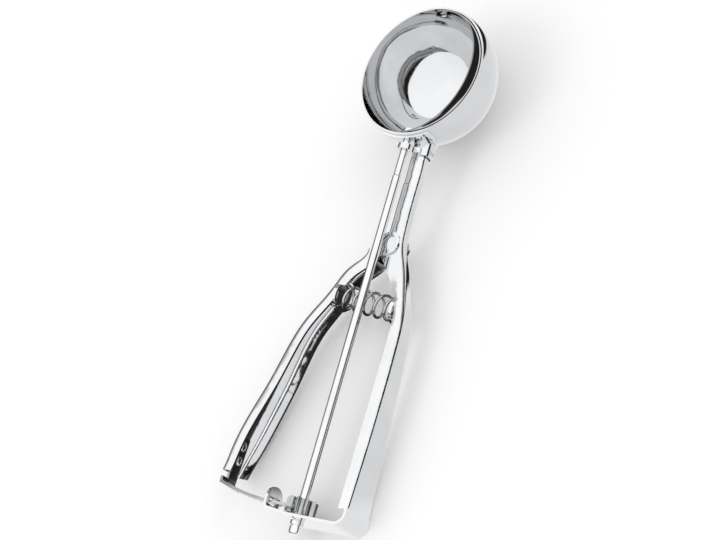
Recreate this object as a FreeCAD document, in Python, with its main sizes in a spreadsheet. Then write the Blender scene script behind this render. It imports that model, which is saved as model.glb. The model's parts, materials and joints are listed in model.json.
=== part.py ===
import FreeCAD, Part
import math
import os
import Sketcher

# Lever ice cream scoop.
# Tool axes, in which every piece is drawn: X across the handles, towards the fixed handle,
# Y along the spindle, towards the bowl, Z up, towards the open side of the bowl. The origin
# is the centre of the bowl's sphere. At the end the whole tool is laid down on a table.

# Driving dimensions, in millimetres and degrees
DIMENSIONS = {
    "bowl_diameter": 60.0,
    "bowl_wall": 0.8,
    "rim_height": 4.0,
    "saddle_thick": 1.0,
    "saddle_half_width": 11.5,
    "saddle_drop": 15.5,
    "saddle_collar_length": 4.2,
    "guide_eye_length": 2.4,
    "guide_eye_wall": 1.5,
    "scraper_width": 7.5,
    "scraper_thick": 0.7,
    "scraper_gap": 0.3,
    "scraper_rest_angle": 9.5,
    "scraper_boss_diameter": 5.6,
    "scraper_boss_length": 2.0,
    "pole_pin_diameter": 2.0,
    "pole_pin_head_diameter": 3.8,
    "pole_pin_head_height": 0.8,
    "spindle_diameter": 3.6,
    "spindle_top_diameter": 3.2,
    "spindle_step_from_bowl": 16.9,
    "spindle_cap_wall": 0.65,
    "spindle_cap_length": 5.6,
    "spindle_collar_wall": 1.0,
    "spindle_collar_length": 1.8,
    "running_gap": 0.05,
    "seat_gap": 0.02,
    "pinion_teeth": 10,
    "gear_module": 1.05,
    "pressure_angle": 25.0,
    "pinion_height": 6.4,
    "pinion_float": 0.35,
    "gear_play": 0.12,
    "rack_thick": 1.2,
    "rack_teeth": 8,
    "drive_pin_diameter": 1.0,
    "spindle_end_play": 0.15,
    "spindle_cap_floor": 1.5,
    "spindle_peen": 0.6,
    "spindle_cap_round": 1.2,
    "spindle_cap_groove": 0.5,
    "thrust_washer_thick": 0.6,
    "thrust_washer_diameter": 5.8,
    "pinion_pin_diameter": 1.2,
    "pinion_pin_from_top": 1.6,
    "rack_above_plate": 2.6,
    "gear_spread": 0.1,
    "guide_tab_bend": 1.5,
    "guide_tab_low": 0.5,
    "flare_length": 6.6,
    "plate_corner_cut": 3.0,
    "rack_tip_height": 4.4,
    "rack_top_height": 8.6,
    "rack_end_across": 1.5,
    "rack_bend": 1.5,
    "rack_foot_top": 90.0,
    "rack_foot_bottom": 103.0,
    "rack_foot_low": -3.4,
    "rack_foot_high": 2.2,
    "neck_rivet_down": 2.2,
    "neck_rivet_spacing": 1.9,
    "saddle_below_rim": 1.0,
    "guide_eye_foot": 1.4,
    "spacer_gap": 0.12,
    "collar_gap": 0.12,
    "collar_web_gap": 0.3,
    "rack_foot_gap_top": 0.25,
    "rack_foot_gap_low": 0.55,
    "neck_rivet_seat": 0.4,
    "rack_rivet_seat": 0.65,
    "sheet_thick": 1.1,
    "pivot_from_bowl": 45.4,
    "pivot_across": 3.0,
    "plate_from_bowl": 166.0,
    "plate_tilt": 4.2,
    "plate_corner_radius": 5.0,
    "guide_tab_across": 9.6,
    "guide_tab_width": 10.0,
    "guide_tab_height": 9.0,
    "slot_gap": 0.5,
    "rivet_diameter": 4.0,
    "rivet_head_diameter": 7.2,
    "rivet_front_head_height": 0.9,
    "rivet_back_head_height": 1.5,
    "spacer_wall": 1.0,
    "washer_diameter": 8.4,
    "washer_thick": 0.6,
    "ear_radius": 4.9,
    "neck_rivet_diameter": 1.0,
    "rack_rivet_diameter": 2.2,
    "spring_outer_diameter": 10.8,
    "spring_wire": 1.2,
    "spring_turns": 5.25,
    "spring_depth": 8.3,
    "spring_seat_gap": 0.15,
    "cup_wall": 0.9,
    "cup_depth": 1.8,
    "frame_cup_from_pivot": 28.0,
    "lever_cup_from_pivot": 22.6,
}

# Stations of the two pressed channels, from the top down. along is measured down the tool
# from the pivot, across is the outside of the web, front and back are the two flanges'
# outer faces, flange is their width and corner the outside radius of the long bends.
FRAME_STATIONS = {
    "saddle": {"along": -44.2, "across": 7.2, "front": -4.2, "back": -10.8, "flange": 5.8, "corner": 2.6},
    "throat": {"along": -30.0, "across": 7.3, "front": -4.2, "back": -10.8, "flange": 6.3, "corner": 2.6},
    "neck": {"along": -13.4, "across": 7.4, "front": -4.2, "back": -10.8, "flange": 6.8, "corner": 2.6},
    "pivot": {"along": 0.0, "across": 8.6, "front": -4.2, "back": -10.8, "flange": 9.8, "corner": 2.6},
    "shoulder": {"along": 10.6, "across": 12.8, "front": -4.2, "back": -10.9, "flange": 7.4, "corner": 2.6},
    "seat": {"along": 25.6, "across": 18.4, "front": -2.6, "back": -12.0, "flange": 4.0, "corner": 2.8},
    "knee": {"along": 38.0, "across": 21.6, "front": -1.0, "back": -11.6, "flange": 4.4, "corner": 2.8},
    "grip": {"along": 80.5, "across": 25.0, "front": 3.0, "back": -10.6, "flange": 4.9, "corner": 2.2},
    "end": {"along": 116.5, "across": 26.6, "front": 6.4, "back": -10.2, "flange": 4.2, "corner": 1.7},
}
LEVER_STATIONS = {
    "ear": {"along": 2.2, "across": -6.7, "front": -3.0, "back": -12.0, "flange": 7.6, "corner": 1.6},
    "shoulder": {"along": 11.1, "across": -14.2, "front": -3.0, "back": -12.0, "flange": 6.6, "corner": 2.6},
    "seat": {"along": 25.3, "across": -22.3, "front": -2.4, "back": -12.2, "flange": 5.8, "corner": 2.8},
    "knee": {"along": 39.6, "across": -29.3, "front": -1.0, "back": -12.0, "flange": 5.8, "corner": 2.8},
    "grip": {"along": 64.0, "across": -34.2, "front": 1.5, "back": -11.4, "flange": 5.8, "corner": 2.6},
    "heel": {"along": 87.0, "across": -39.7, "front": 3.6, "back": -11.0, "flange": 5.6, "corner": 2.4},
    "end": {"along": 105.0, "across": -41.3, "front": 5.2, "back": -7.0, "flange": 5.2, "corner": 2.2},
}
FRAME_SPANS = 18
LEVER_SPANS = 12

doc = FreeCAD.newDocument("scoop")
sheet = doc.addObject("Spreadsheet::Sheet", "Sizes")


def fill_sheet():
    cells = dict(DIMENSIONS)
    for handle, stations in (("frame", FRAME_STATIONS), ("lever", LEVER_STATIONS)):
        for station, sizes in stations.items():
            for name, value in sizes.items():
                cells["%s_%s_%s" % (handle, station, name)] = value
    for row, (name, value) in enumerate(cells.items(), start=1):
        sheet.set("A%d" % row, name)
        sheet.set("B%d" % row, repr(value))
        sheet.setAlias("B%d" % row, name)
    doc.recompute()


class Size:
    """A number together with the sheet formula that gives it."""

    def __init__(self, value, text):
        self.value = float(value)
        self.text = text

    @staticmethod
    def of(other):
        if isinstance(other, Size):
            return other
        return Size(other, repr(round(float(other), 6)))

    def join(self, sign, other, value):
        return Size(value, "(%s %s %s)" % (self.text, sign, other.text))

    def __add__(self, other):
        other = Size.of(other)
        return self.join("+", other, self.value + other.value)

    def __sub__(self, other):
        other = Size.of(other)
        return self.join("-", other, self.value - other.value)

    def __mul__(self, other):
        other = Size.of(other)
        return self.join("*", other, self.value * other.value)

    def __truediv__(self, other):
        other = Size.of(other)
        return self.join("/", other, self.value / other.value)

    def __radd__(self, other):
        return Size.of(other) + self

    def __rsub__(self, other):
        return Size.of(other) - self

    def __rmul__(self, other):
        return Size.of(other) * self

    def __neg__(self):
        return Size.of(0) - self


def size(name):
    return Size(sheet.get(name), "Sizes." + name)


def vector(x, y, z=0.0):
    return FreeCAD.Vector(x, y, z)


def placed(origin, x_axis, y_axis):
    """Placement whose own x and y run along the two given directions."""
    z_axis = x_axis.cross(y_axis)
    matrix = FreeCAD.Matrix(
        x_axis.x, y_axis.x, z_axis.x, origin.x,
        x_axis.y, y_axis.y, z_axis.y, origin.y,
        x_axis.z, y_axis.z, z_axis.z, origin.z,
        0, 0, 0, 1,
    )
    return FreeCAD.Placement(matrix)


ALONG_X = vector(1, 0, 0)
ALONG_Y = vector(0, 1, 0)
ALONG_Z = vector(0, 0, 1)
fill_sheet()


def bind(target, path, amount):
    """Give a property its size, tied to the sheet where the size comes from there."""
    amount = Size.of(amount)
    if "Sizes." in amount.text:
        target.setExpression(path, amount.text)
    else:
        setattr(target, path, amount.value)


def root(amount):
    return Size(math.sqrt(amount.value), "sqrt(%s)" % amount.text)


def sine(amount):
    return Size(math.sin(math.radians(amount.value)), "sin(%s)" % amount.text)


def cosine(amount):
    return Size(math.cos(math.radians(amount.value)), "cos(%s)" % amount.text)


def tangent(amount):
    return Size(math.tan(math.radians(amount.value)), "tan(%s)" % amount.text)


def new_body(label):
    body = doc.addObject("PartDesign::Body", label)
    body.Label = label
    return body


def origin_plane(body, role):
    return next(f for f in body.Origin.OriginFeatures if f.Role == role)


def new_sketch(body, name, role, offset=None):
    sketch = body.newObject("Sketcher::SketchObject", name)
    sketch.AttachmentSupport = [(origin_plane(body, role), "")]
    sketch.MapMode = "FlatFace"
    if offset is not None:
        sketch.AttachmentOffset = offset
    return sketch


def hold_distance(sketch, kind, axis, edge, end, amount):
    """Hold one point of an edge at its distance from the sketch's origin, one way."""
    amount = Size.of(amount)
    if amount.text == "0.0":
        sketch.addConstraint(Sketcher.Constraint("PointOnObject", edge, end, axis))
        return
    index = sketch.addConstraint(Sketcher.Constraint(kind, -1, 1, edge, end, amount.value))
    if "Sizes." in amount.text:
        sketch.setExpression("Constraints[%d]" % index, amount.text)


def hold_point(sketch, edge, end, across, up):
    hold_distance(sketch, "DistanceX", -2, edge, end, across)
    hold_distance(sketch, "DistanceY", -1, edge, end, up)


def outline(body, name, role, points, bends=None, offset=None):
    """Closed outline through pairs of sizes. bends holds the arcs, as edge: centre."""
    sketch = new_sketch(body, name, role, offset)
    draw_outline(sketch, points, bends or {})
    return sketch


def short_arc(centre, start, end):
    """Arc of less than half a turn, always drawn anticlockwise."""
    first = start - centre
    last = end - centre
    if first.x * last.y - first.y * last.x < 0:
        first, last = last, first
    low = math.atan2(first.y, first.x)
    high = math.atan2(last.y, last.x)
    if high < low:
        high += 2 * math.pi
    return Part.ArcOfCircle(Part.Circle(centre, ALONG_Z, first.Length), low, high)


def draw_outline(sketch, points, bends):
    spots = [vector(Size.of(x).value, Size.of(y).value) for x, y in points]
    count = len(points)
    edges = []
    for index, start in enumerate(spots):
        end = spots[(index + 1) % count]
        if index in bends:
            centre = vector(*[Size.of(v).value for v in bends[index]])
            edges.append(short_arc(centre, start, end))
        else:
            edges.append(Part.LineSegment(start, end))
    sketch.addGeometry(edges, False)
    ends = []
    for index, edge in enumerate(sketch.Geometry):
        forward = edge.StartPoint.distanceToPoint(spots[index]) < 1e-6
        ends.append((1, 2) if forward else (2, 1))
    rules = []
    for index in range(count):
        following = (index + 1) % count
        joined = (index, ends[index][1], following, ends[following][0])
        rules.append(Sketcher.Constraint("Coincident", *joined))
    sketch.addConstraint(rules)
    for index, (x, y) in enumerate(points):
        hold_point(sketch, index, ends[index][0], x, y)
    for index, centre in bends.items():
        chord = spots[(index + 1) % count] - spots[index]
        if abs(chord.y) >= abs(chord.x):
            hold_distance(sketch, "DistanceX", -2, index, 3, centre[0])
        else:
            hold_distance(sketch, "DistanceY", -1, index, 3, centre[1])


def turn(body, name, sketch, angle=360.0):
    feature = body.newObject("PartDesign::Revolution", name)
    feature.Profile = sketch
    feature.ReferenceAxis = (sketch, ["V_Axis"])
    feature.Angle = angle
    return feature


def pad(body, name, sketch, length):
    feature = body.newObject("PartDesign::Pad", name)
    feature.Profile = sketch
    bind(feature, "Length", length)
    feature.FuzzyTolerance = 0.0005
    return feature


def place_at(feature, across, along, up, direction):
    """Put a feature at three sizes, with its own height along a direction."""
    turned = FreeCAD.Rotation(ALONG_Z, direction)
    spot = [Size.of(v) for v in (across, along, up)]
    feature.Placement = FreeCAD.Placement(vector(*[v.value for v in spot]), turned)
    for axis, amount in zip("xyz", spot):
        if "Sizes." in amount.text:
            feature.setExpression("Placement.Base." + axis, amount.text)


def cylinder(body, kind, name, radius, height, across, along, up, direction):
    feature = body.newObject("PartDesign::%sCylinder" % kind, name)
    bind(feature, "Radius", radius)
    bind(feature, "Height", height)
    place_at(feature, across, along, up, direction)
    return feature


def loose(kind, name, across=0.0, along=0.0, up=0.0, direction=ALONG_Z, **sizes):
    """A plain solid outside any body, such as a block or a ball."""
    solid = doc.addObject("Part::" + kind, name)
    for key, amount in sizes.items():
        bind(solid, key, amount)
    place_at(solid, across, along, up, direction)
    return solid


def join(name, *solids):
    whole = doc.addObject("Part::MultiFuse", name)
    whole.Shapes = list(solids)
    return whole


def cut(name, base, tool):
    left = doc.addObject("Part::Cut", name)
    left.Base = base
    left.Tool = tool
    return left


def common(name, *solids):
    shared = doc.addObject("Part::MultiCommon", name)
    shared.Shapes = list(solids)
    return shared


# Sizes that several pieces share
bowl_radius = size("bowl_diameter") / 2
bowl_inside = bowl_radius - size("bowl_wall")
blade_outside = bowl_inside - size("scraper_gap")
blade_inside = blade_outside - size("scraper_thick")
saddle_outside = bowl_radius + size("saddle_thick")
seat_gap = size("seat_gap")
running_gap = size("running_gap")
sheet_thick = size("sheet_thick")
rod_radius = size("spindle_diameter") / 2
rod_top_radius = size("spindle_top_diameter") / 2
pivot_across = size("pivot_across")
pivot_along = -(bowl_radius + size("pivot_from_bowl"))
rivet_radius = size("rivet_diameter") / 2
plate_along = -(bowl_radius + size("plate_from_bowl"))

# The stations of the handles were drawn for these sizes, and move when the sizes do
NECK_DRAWN = 45.4
GRIP_DRAWN = 120.6
SHEET_DRAWN = 1.1
neck_stretch = sheet.get("pivot_from_bowl") / NECK_DRAWN
grip_stretch = (sheet.get("plate_from_bowl") - sheet.get("pivot_from_bowl")) / GRIP_DRAWN


def sphere_drop(radius, off_axis):
    """Height of a sphere's surface over its middle, off_axis away from the axis."""
    return root(radius * radius - off_axis * off_axis)


# Pressed channels
def spread(places, at):
    """Shares of each station's sizes in a section between stations, with no kinks."""
    last = len(places) - 2
    left = 0
    while left < last and places[left + 1] < at:
        left += 1
    step = places[left + 1] - places[left]
    part = (at - places[left]) / step
    shares = [0.0] * len(places)
    shares[left] += 2 * part ** 3 - 3 * part ** 2 + 1
    shares[left + 1] += -2 * part ** 3 + 3 * part ** 2
    slopes = ((left, part ** 3 - 2 * part ** 2 + part), (left + 1, part ** 3 - part ** 2))
    for station, share in slopes:
        before = max(station - 1, 0)
        after = min(station + 1, len(places) - 1)
        slope = share * step / (places[after] - places[before])
        shares[after] += slope
        shares[before] -= slope
    return shares


class Channel:
    """The stations of one handle and the sizes of any section between them."""

    def __init__(self, handle, stations, side):
        self.handle = handle
        self.names = list(stations)
        self.side = side
        drawn = [sheet.get("%s_%s_along" % (handle, n)) for n in self.names]
        self.places = [along * (grip_stretch if along > 0 else neck_stretch) for along in drawn]
        self.straddle = {"front": 1, "back": -1} if handle == "lever" else {}

    def at(self, along, name):
        total = None
        for station, share in zip(self.names, spread(self.places, along)):
            if abs(share) < 1e-9:
                continue
            part = size("%s_%s_%s" % (self.handle, station, name)) * round(share, 9)
            total = part if total is None else total + part
        if name in self.straddle:
            total = total + (sheet_thick - SHEET_DRAWN) * self.straddle[name]
        return total

    def slope(self, along):
        low = max(along - 0.5, self.places[0])
        high = min(along + 0.5, self.places[-1])
        rise = self.at(high, "across").value - self.at(low, "across").value
        return rise / (high - low)

    def frame_of(self, along):
        """Where a section stands, the way its flanges point and the way down the handle."""
        down = vector(self.slope(along), -1)
        down.normalize()
        open_side = vector(-down.y, down.x) * self.side
        origin = vector(self.at(along, "across").value, pivot_along.value - along)
        return origin, open_side, down

    def section(self, body, name, along):
        origin, open_side, down = self.frame_of(along)
        sketch = new_sketch(body, name, "XY_Plane", placed(origin, open_side, ALONG_Z))
        sketch.setExpression("AttachmentOffset.Base.x", self.at(along, "across").text)
        sketch.setExpression("AttachmentOffset.Base.y", (pivot_along - along).text)
        draw_section(
            sketch, self.at(along, "front"), self.at(along, "back"),
            self.at(along, "flange"), self.at(along, "corner"), sheet_thick,
        )
        return sketch

    def loft(self, body, spans):
        first, last = self.places[0], self.places[-1]
        sketches = []
        for index in range(spans + 1):
            along = first + (last - first) * index / spans
            sketches.append(self.section(body, "%s_section_%02d" % (self.handle, index), along))
        doc.recompute()
        feature = body.newObject("PartDesign::AdditiveLoft", self.handle + "_channel")
        feature.Profile = sketches[0]
        feature.Sections = sketches[1:]
        feature.Ruled = False
        doc.recompute()
        return feature


def draw_section(sketch, front, back, flange, corner, thick):
    """Channel section: x from the web's outside to the flange edge, y from back to front."""
    inner_front = front - thick
    inner_back = back + thick
    bend_front = front - corner
    bend_back = back + corner
    points = (
        (flange, front), (corner, front), (0.0, bend_front), (0.0, bend_back),
        (corner, back), (flange, back), (flange, inner_back), (corner, inner_back),
        (thick, bend_back), (thick, bend_front), (corner, inner_front), (flange, inner_front),
    )
    bends = {
        1: (corner, bend_front), 3: (corner, bend_back),
        7: (corner, bend_back), 9: (corner, bend_front),
    }
    draw_outline(sketch, points, bends)


frame_channel = Channel("frame", FRAME_STATIONS, -1)
lever_channel = Channel("lever", LEVER_STATIONS, 1)
sub_parts = []


def add_part(solid, label, local=None):
    """Register a finished piece with its name and its place on the tool."""
    solid.Label = label
    sub_parts.append((solid, label, local or FreeCAD.Placement()))


AT_PIVOT = FreeCAD.Placement(vector(pivot_across.value, pivot_along.value), FreeCAD.Rotation())

# Bowl: half a sphere of sheet with a low straight band up to the rim
pin_radius = size("pole_pin_diameter") / 2
rim = size("rim_height")
bowl_shell = cut(
    "bowl_shell",
    loose("Sphere", "bowl_outer_ball", Radius=bowl_radius),
    loose("Sphere", "bowl_inner_ball", Radius=bowl_inside),
)
bowl_openings = join(
    "bowl_openings",
    loose(
        "Box", "bowl_mouth", -bowl_radius * 2, -bowl_radius * 2, rim,
        Length=bowl_radius * 4, Width=bowl_radius * 4, Height=bowl_radius * 2,
    ),
    loose(
        "Cylinder", "bowl_spindle_hole", 0.0, -bowl_radius * 2, 0.0, ALONG_Y,
        Radius=rod_top_radius + running_gap * 2, Height=bowl_radius * 2,
    ),
    loose(
        "Cylinder", "bowl_pin_hole", 0.0, 0.0, 0.0, ALONG_Y,
        Radius=pin_radius + seat_gap, Height=bowl_radius * 2,
    ),
)
bowl = cut("bowl", bowl_shell, bowl_openings)
add_part(bowl, "bowl")

# Far pole pin: fixed in the bowl, with a head outside it and a head inside the blade
far_pole_pin = new_body("far_pole_pin")
pin_head = size("pole_pin_head_diameter") / 2
pin_head_height = size("pole_pin_head_height")
pin_inner_face = blade_inside - 0.2
pin_dome = (pin_head * pin_head + pin_head_height * pin_head_height) / (pin_head_height * 2)
pin_points = (
    (0.0, pin_inner_face - pin_head_height), (pin_head, pin_inner_face), (pin_radius, pin_inner_face),
    (pin_radius, bowl_radius), (pin_head, bowl_radius), (0.0, bowl_radius + pin_head_height),
)
pin_bends = {
    0: (0.0, pin_inner_face - pin_head_height + pin_dome),
    4: (0.0, bowl_radius + pin_head_height - pin_dome),
}
turn(far_pole_pin, "pin_turned", outline(far_pole_pin, "pin_section", "XY_Plane", pin_points, pin_bends))
add_part(far_pole_pin, "far_pole_pin")

# Scraper blade: a strip of a thin sphere, from pole to pole, drawn level and turned to rest
half_width = size("scraper_width") / 2
blade_shell = cut(
    "blade_shell",
    loose("Sphere", "blade_outer_ball", Radius=blade_outside),
    loose("Sphere", "blade_inner_ball", Radius=blade_inside),
)
blade_zone = join(
    "blade_zone",
    loose(
        "Box", "blade_band", 0.0, -bowl_radius, -half_width,
        Length=bowl_radius, Width=bowl_radius * 2, Height=half_width * 2,
    ),
    loose(
        "Cylinder", "blade_ends", 0.0, -bowl_radius, 0.0, ALONG_Y,
        Radius=half_width, Height=bowl_radius * 2,
    ),
)
blade_bores = join(
    "blade_bores",
    loose(
        "Cylinder", "blade_pin_bore", 0.0, 0.0, 0.0, ALONG_Y,
        Radius=pin_radius + running_gap, Height=bowl_radius,
    ),
    loose(
        "Cylinder", "blade_rod_bore", 0.0, -bowl_radius, 0.0, ALONG_Y,
        Radius=rod_top_radius + seat_gap, Height=bowl_radius,
    ),
)
scraper_blade = cut("scraper_blade", common("blade_strip", blade_shell, blade_zone), blade_bores)
blade_turn = FreeCAD.Rotation(ALONG_Y, -sheet.get("scraper_rest_angle"))
AT_REST = FreeCAD.Placement(vector(0, 0), blade_turn)
add_part(scraper_blade, "scraper_blade", AT_REST)

# Scraper hub: boss inside the blade at the near pole, pinned to the rod
scraper_hub = new_body("scraper_hub")
hub_radius = size("scraper_boss_diameter") / 2
hub_low = seat_gap + 0.04 - sphere_drop(blade_inside, hub_radius)
hub_high = hub_low + size("scraper_boss_length")
hub_bore = rod_top_radius + seat_gap
hub_points = ((hub_bore, hub_low), (hub_radius, hub_low), (hub_radius, hub_high), (hub_bore, hub_high))
turn(scraper_hub, "hub_turned", outline(scraper_hub, "hub_section", "XY_Plane", hub_points))
drive_pin_radius = size("drive_pin_diameter") / 2
hub_middle = (hub_low + hub_high) / 2
cylinder(
    scraper_hub, "Subtractive", "hub_pin_hole", drive_pin_radius + seat_gap, hub_radius * 4,
    0.0, hub_middle, -hub_radius * 2, ALONG_Z,
)
add_part(scraper_hub, "scraper_hub")

# Scraper drive pin: through the hub and the rod
scraper_drive_pin = new_body("scraper_drive_pin")
pin_half = sphere_drop(hub_radius, drive_pin_radius)
cylinder(
    scraper_drive_pin, "Additive", "drive_pin_bar", drive_pin_radius, pin_half * 2,
    0.0, hub_middle, -pin_half, ALONG_Z,
)
add_part(scraper_drive_pin, "scraper_drive_pin")

# Spindle rod: from inside the bowl to the cap under the bottom plate
plate_tilt = size("plate_tilt")
collar_radius = rod_radius + size("spindle_collar_wall")
plate_under = plate_along - sheet_thick / cosine(plate_tilt)
cap_top = plate_under - collar_radius * tangent(plate_tilt) - size("spindle_end_play")
cap_bottom = cap_top - size("spindle_cap_length")
rod_bottom = cap_bottom + size("spindle_cap_floor")
rod_step = -(bowl_radius + size("spindle_step_from_bowl"))
rod_top = hub_high + size("spindle_peen")
spindle_rod = new_body("spindle_rod")
rod_points = (
    (0.0, rod_bottom), (rod_radius, rod_bottom), (rod_radius, rod_step - 0.3),
    (rod_top_radius, rod_step), (rod_top_radius, rod_top - 0.3),
    (rod_top_radius - 0.3, rod_top), (0.0, rod_top),
)
turn(spindle_rod, "rod_turned", outline(spindle_rod, "rod_section", "XY_Plane", rod_points))
cylinder(
    spindle_rod, "Subtractive", "rod_drive_hole", drive_pin_radius + seat_gap, rod_radius * 4,
    0.0, hub_middle, -rod_radius * 2, ALONG_Z,
)
washer_top = plate_along + size("thrust_washer_thick") + size("thrust_washer_diameter") / 2 * tangent(plate_tilt)
washer_top = washer_top + seat_gap
pinion_low = washer_top + running_gap
pinion_high = pinion_low + size("pinion_height")
pinion_pin_radius = size("pinion_pin_diameter") / 2
pinion_pin_along = pinion_high - size("pinion_pin_from_top")
cylinder(
    spindle_rod, "Subtractive", "rod_pinion_hole", pinion_pin_radius + seat_gap, rod_radius * 4,
    0.0, pinion_pin_along, -rod_radius * 2, ALONG_Z,
)
add_part(spindle_rod, "spindle_rod")

# Spindle end cap: collar, groove and rounded end, pressed on the rod under the plate
spindle_end_cap = new_body("spindle_end_cap")
cap_radius = rod_radius + size("spindle_cap_wall")
cap_bore = rod_radius + seat_gap
cap_round = size("spindle_cap_round")
collar_low = cap_top - size("spindle_collar_length")
groove_radius = cap_radius - size("spindle_cap_groove")
groove_low = collar_low - size("spindle_cap_groove")
cap_points = (
    (cap_bore, cap_top), (collar_radius, cap_top), (collar_radius, collar_low),
    (groove_radius, collar_low), (groove_radius, groove_low), (cap_radius, groove_low),
    (cap_radius, cap_bottom + cap_round), (cap_radius - cap_round, cap_bottom),
    (0.0, cap_bottom), (0.0, rod_bottom - seat_gap), (cap_bore, rod_bottom - seat_gap),
)
cap_bends = {6: (cap_radius - cap_round, cap_bottom + cap_round)}
turn(spindle_end_cap, "cap_turned", outline(spindle_end_cap, "cap_section", "XY_Plane", cap_points, cap_bends))
add_part(spindle_end_cap, "spindle_end_cap")

# Thrust washer: between the bottom plate and the pinion
thrust_washer = new_body("thrust_washer")
washer_low = washer_top - size("thrust_washer_thick")
washer_radius = size("thrust_washer_diameter") / 2
washer_bore = rod_radius + running_gap
washer_points = (
    (washer_bore, washer_low), (washer_radius, washer_low),
    (washer_radius, washer_top), (washer_bore, washer_top),
)
turn(thrust_washer, "washer_turned", outline(thrust_washer, "washer_section", "XY_Plane", washer_points))
add_part(thrust_washer, "thrust_washer")

# Pinion and rack share these tooth sizes
teeth = int(sheet.get("pinion_teeth"))
module = size("gear_module").value
pressure = math.radians(sheet.get("pressure_angle"))
pitch_radius = teeth * module / 2
tooth_pitch = math.pi * module
tooth_half = tooth_pitch / 4 - sheet.get("gear_play") / 4
rack_radius = sheet.get("plate_from_bowl") - sheet.get("pivot_from_bowl") - sheet.get("rack_above_plate")
rack_pitch_up = pitch_radius + sheet.get("gear_spread")


def involute(angle):
    return math.tan(angle) - angle


def pinion_shape():
    """Spur pinion about Y, with a tooth gap facing straight up."""
    base = pitch_radius * math.cos(pressure)
    tip = pitch_radius + module
    foot = pitch_radius - 1.25 * module
    half_at_pitch = tooth_half / pitch_radius

    def half_angle(radius):
        grip = math.acos(min(1.0, base / radius))
        return half_at_pitch + involute(pressure) - involute(grip)

    def spot(radius, angle):
        return vector(radius * math.sin(angle), 0, radius * math.cos(angle))

    steps = [base + (tip - base) * k / 5 for k in range(6)]
    edges = []
    last = None
    first = None
    for tooth in range(teeth):
        middle = 2 * math.pi * (tooth + 0.5) / teeth
        rising = [spot(foot, middle - half_angle(base))]
        rising += [spot(r, middle - half_angle(r)) for r in steps]
        falling = [spot(r, middle + half_angle(r)) for r in reversed(steps)]
        falling.append(spot(foot, middle + half_angle(base)))
        if last is not None:
            gap = 2 * math.pi * tooth / teeth
            edges.append(Part.Arc(last, spot(foot, gap), rising[0]).toShape())
        else:
            first = rising[0]
        edges.append(Part.makeLine(rising[0], rising[1]))
        for side, then in ((rising[1:], falling[0]), (falling[:-1], None)):
            flank = Part.BSplineCurve()
            flank.interpolate(side)
            edges.append(flank.toShape())
            if then is not None:
                edges.append(Part.Arc(side[-1], spot(tip, middle), then).toShape())
        edges.append(Part.makeLine(falling[-2], falling[-1]))
        last = falling[-1]
    edges.append(Part.Arc(last, spot(foot, 0.0), first).toShape())
    face = Part.Face(Part.Wire(edges))
    gear = face.extrude(vector(0, pinion_high.value - pinion_low.value, 0))
    gear.translate(vector(0, pinion_low.value, 0))
    bore = Part.makeCylinder(cap_bore.value, 30, vector(0, pinion_low.value - 5, 0), ALONG_Y)
    hole_place = vector(0, pinion_pin_along.value, -20)
    hole = Part.makeCylinder((pinion_pin_radius + seat_gap).value, 40, hole_place, ALONG_Z)
    gear = gear.cut(bore).cut(hole.common(Part.makeCylinder(foot + 0.6, 40, vector(0, pinion_low.value - 5, 0), ALONG_Y)))
    return gear


spindle_pinion = doc.addObject("Part::Feature", "spindle_pinion")
spindle_pinion.Shape = pinion_shape()
add_part(spindle_pinion, "spindle_pinion")

# Pinion pin: locks the pinion to the rod, along a tooth gap
pinion_pin = new_body("pinion_pin")
pinion_pin_half = Size.of(pitch_radius - 1.25 * module - 0.1)
cylinder(
    pinion_pin, "Additive", "pinion_pin_bar", pinion_pin_radius, pinion_pin_half * 2,
    0.0, pinion_pin_along, -pinion_pin_half, ALONG_Z,
)
add_part(pinion_pin, "pinion_pin")

# How far a bent piece of sheet runs into the channel that it continues, and how far it
# lies inside that channel's faces
LAP = 0.5
SEAM = 0.01

# Frame handle: neck, ears, grip, bottom plate and guide tab bent from one sheet
frame_sheet = new_body("frame_sheet")
frame_channel.loft(frame_sheet, FRAME_SPANS)
frame_plate = new_body("frame_plate")
frame_end = frame_channel.places[-1]
end_back = frame_channel.at(frame_end, "back")
end_front = frame_channel.at(frame_end, "front")
end_across = frame_channel.at(frame_end, "across")
end_along = pivot_along - frame_end
end_spot, end_open, end_down = frame_channel.frame_of(frame_end)
web_slope = round(end_down.x / -end_down.y, 6)
tilt_slope = tangent(plate_tilt)


def web_meets(web_across, plate_height):
    """Corner where a line down the web meets a line along the plate."""
    across = (web_across + (end_along - plate_height) * web_slope) / (1.0 - tilt_slope * web_slope)
    return across, plate_height - across * tilt_slope


web_outer = end_across - SEAM
web_inner = end_across - (sheet_thick - SEAM) * round(1 / -end_down.y, 6)
outer_corner = web_meets(web_outer, plate_under)
inner_corner = web_meets(web_inner, plate_along)
tab_out = -(size("guide_tab_across") + sheet_thick)
tab_bend = size("guide_tab_bend") + sheet_thick
half_turn = (90.0 - plate_tilt) / 2
tab_corner_along = plate_under - tab_out * tilt_slope
bend_start_up = tab_corner_along + tab_bend * tangent(half_turn)
bend_centre = (tab_out + tab_bend, bend_start_up)
tab_top = plate_along - tab_out * tilt_slope + size("guide_tab_height")
tip_x = sine(plate_tilt)
tip_y = cosine(plate_tilt)
plate_left_low = (bend_centre[0] - tab_bend * tip_x, bend_centre[1] - tab_bend * tip_y)
tab_inner_bend = size("guide_tab_bend")
plate_left_high = (bend_centre[0] - tab_inner_bend * tip_x, bend_centre[1] - tab_inner_bend * tip_y)
web_end = (web_outer - end_down.x * LAP, end_along - end_down.y * LAP)
web_end_inner = (
    web_end[0] + end_open.x * (sheet_thick - SEAM * 2),
    web_end[1] + end_open.y * (sheet_thick - SEAM * 2),
)
plate_points = (
    web_end, outer_corner, plate_left_low, plate_left_high, inner_corner, web_end_inner,
)
plate_back = end_back + SEAM
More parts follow.
